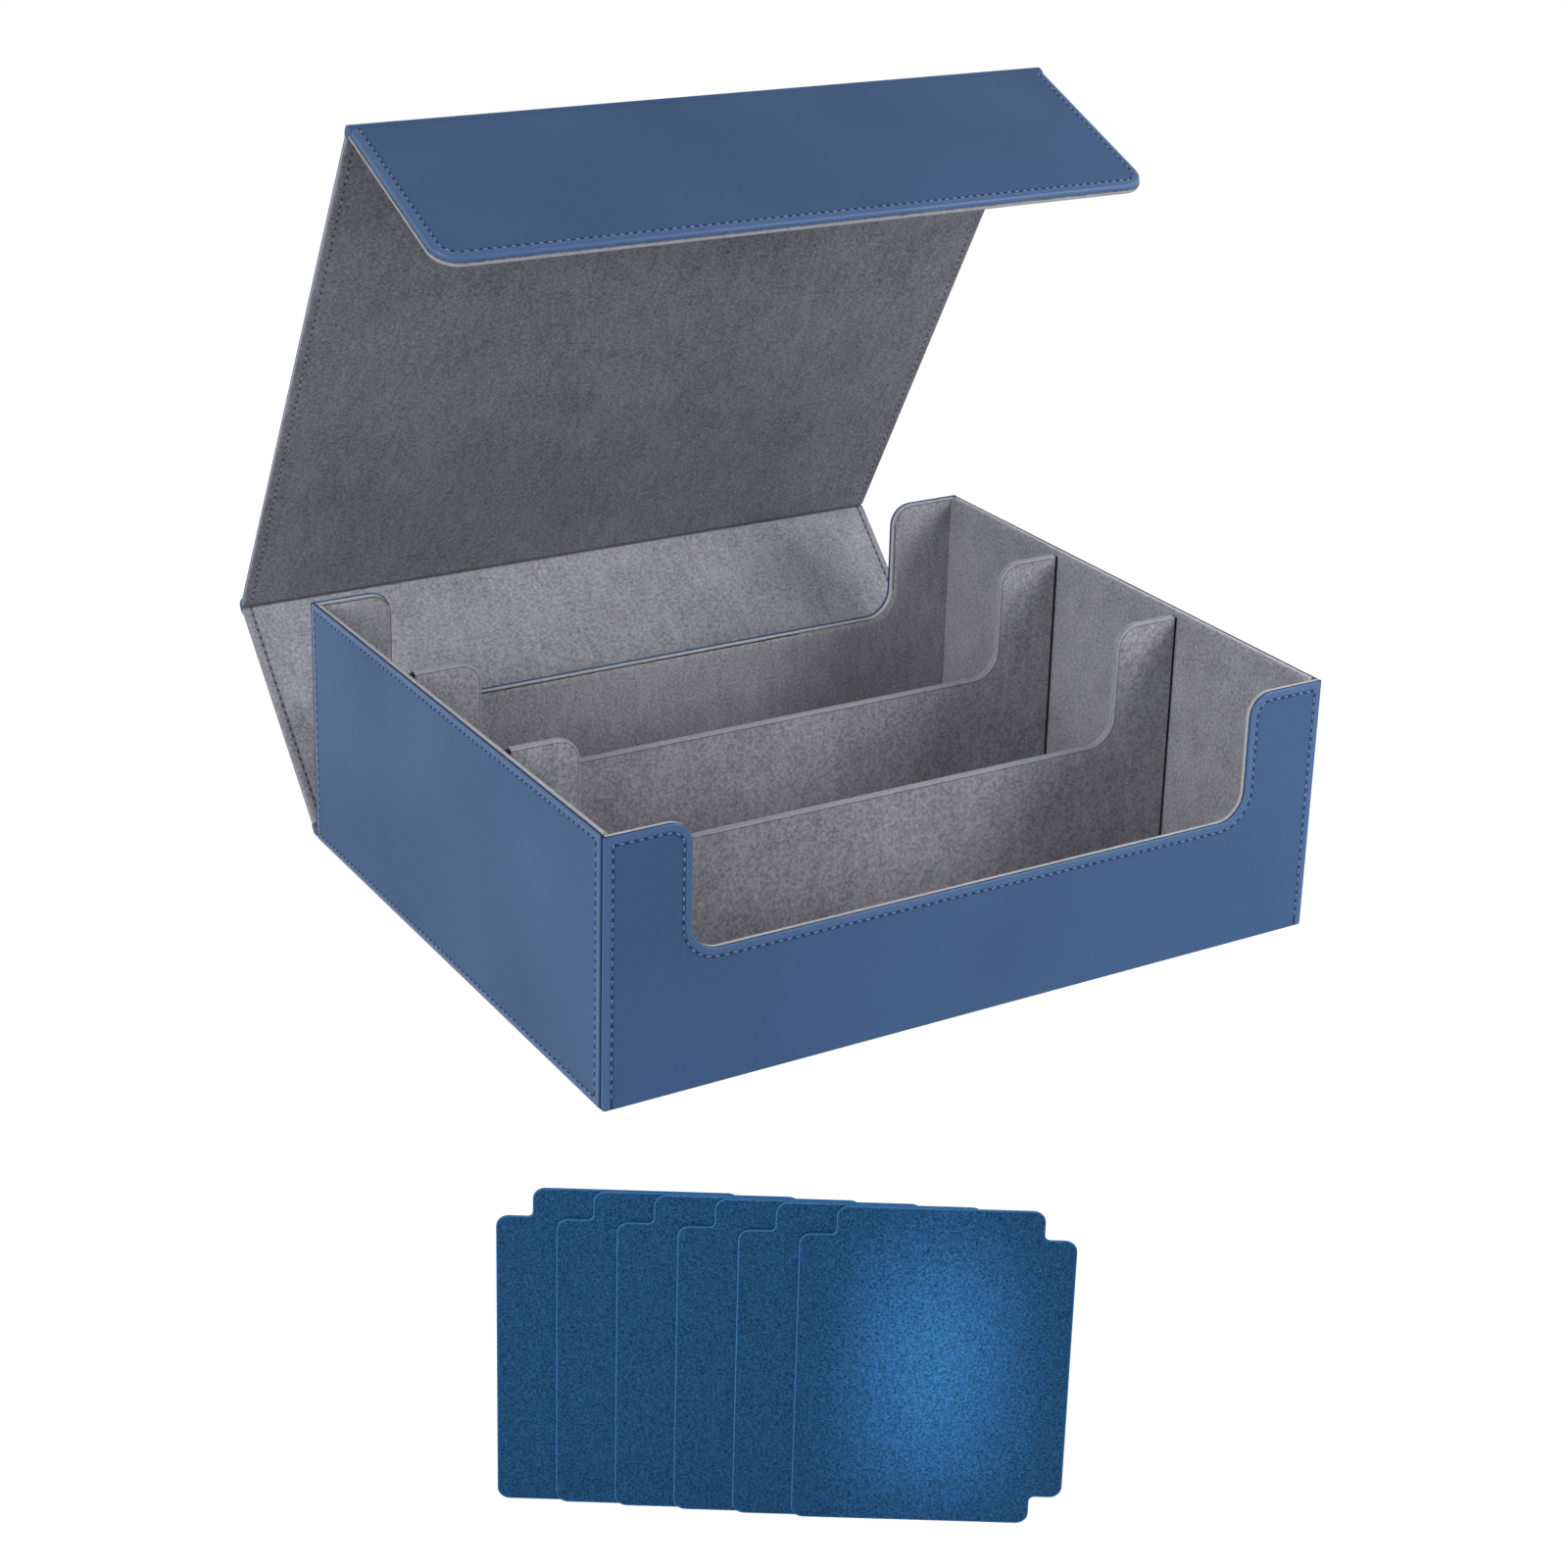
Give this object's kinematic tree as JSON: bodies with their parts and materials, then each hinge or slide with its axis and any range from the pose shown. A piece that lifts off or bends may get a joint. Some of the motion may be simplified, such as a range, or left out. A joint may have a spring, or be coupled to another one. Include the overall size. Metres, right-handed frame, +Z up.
{
  "type": "card storage box",
  "caption": "Flip-lid leather-covered card storage box with lined rows behind hand notches, a folding cover with a magnetic flap, and loose divider cards.",
  "frame": {"origin": "middle of the tray's underside, on the surface that it stands on", "axes": "+X to the right along the front wall, +Y from the front wall to the hinged back wall, +Z up"},
  "size_m": [0.4606, 0.6304, 0.3243],
  "materials": {
    "leather": "smooth blue polyurethane faux leather with tone-on-tone stitching",
    "lining": "mottled grey microfibre suede",
    "board": "raw pressed grey board",
    "magnet": "nickel-plated bar magnet",
    "card": "fine-grained matt blue polypropylene sheet"
  },
  "bodies": {
    "tray": {"base_leather": "leather", "floor_board": "board", "front_wall_leather": "leather", "front_wall_board": "board", "front_wall_lining": "lining", "back_wall_leather": "leather", "back_wall_board": "board", "back_wall_lining": "lining", "left_wall_leather": "leather", "left_wall_board": "board", "left_wall_lining": "lining", "right_wall_leather": "leather", "right_wall_board": "board", "right_wall_lining": "lining", "row_1_floor_lining": "lining", "row_2_floor_lining": "lining", "row_3_floor_lining": "lining", "partition_1_board": "board", "partition_1_cover": "lining", "partition_2_board": "board", "partition_2_cover": "lining", "wall_magnet_left": "magnet", "wall_magnet_right": "magnet", "base_fold": "leather"},
    "spine": {"spine_leather": "leather", "spine_board": "board", "spine_lining": "lining", "lid_fold": "leather"},
    "lid": {"lid_leather": "leather", "lid_board": "board", "lid_lining": "lining", "flap_fold": "leather"},
    "flap": {"flap_leather": "leather", "flap_board": "board", "flap_lining": "lining", "flap_magnet_left": "magnet", "flap_magnet_right": "magnet"},
    "card_1": {"divider_card_1": "card"},
    "card_2": {"divider_card_2": "card"},
    "card_3": {"divider_card_3": "card"},
    "card_4": {"divider_card_4": "card"},
    "card_5": {"divider_card_5": "card"},
    "card_6": {"divider_card_6": "card"}
  },
  "joints": [
    {"name": "spine_hinge", "type": "hinge", "parent": "tray", "child": "spine", "pos_m": [0, 0.1376, 0.0025], "axis": [1, 0, 0], "range_deg": [-44, 46]},
    {"name": "lid_hinge", "type": "hinge", "parent": "spine", "child": "lid", "pos_m": [0, 0.21817, 0.0803], "axis": [1, 0, 0], "range_deg": [-75, 15]},
    {"name": "flap_hinge", "type": "hinge", "parent": "lid", "child": "flap", "pos_m": [0, 0.08417, 0.32205], "axis": [1, 0, 0], "range_deg": [-83.5, 6.5]},
    {"name": "deck_tilt", "type": "hinge", "parent": "tray", "child": "card_1", "pos_m": [-0.225, -0.362, 0], "axis": [0.8499, -0.527, 0], "range_deg": [-90, 0]},
    {"name": "card_2_slide", "type": "slide", "parent": "card_1", "child": "card_2", "axis": [0.8499, -0.527, 0], "range_m": [-0.0173, 0.01]},
    {"name": "card_3_slide", "type": "slide", "parent": "card_2", "child": "card_3", "axis": [0.8499, -0.527, 0], "range_m": [-0.0173, 0.01]},
    {"name": "card_4_slide", "type": "slide", "parent": "card_3", "child": "card_4", "axis": [0.8499, -0.527, 0], "range_m": [-0.0173, 0.01]},
    {"name": "card_5_slide", "type": "slide", "parent": "card_4", "child": "card_5", "axis": [0.8499, -0.527, 0], "range_m": [-0.0173, 0.01]},
    {"name": "card_6_slide", "type": "slide", "parent": "card_5", "child": "card_6", "axis": [0.8499, -0.527, 0], "range_m": [-0.0173, 0.01]}
  ]
}
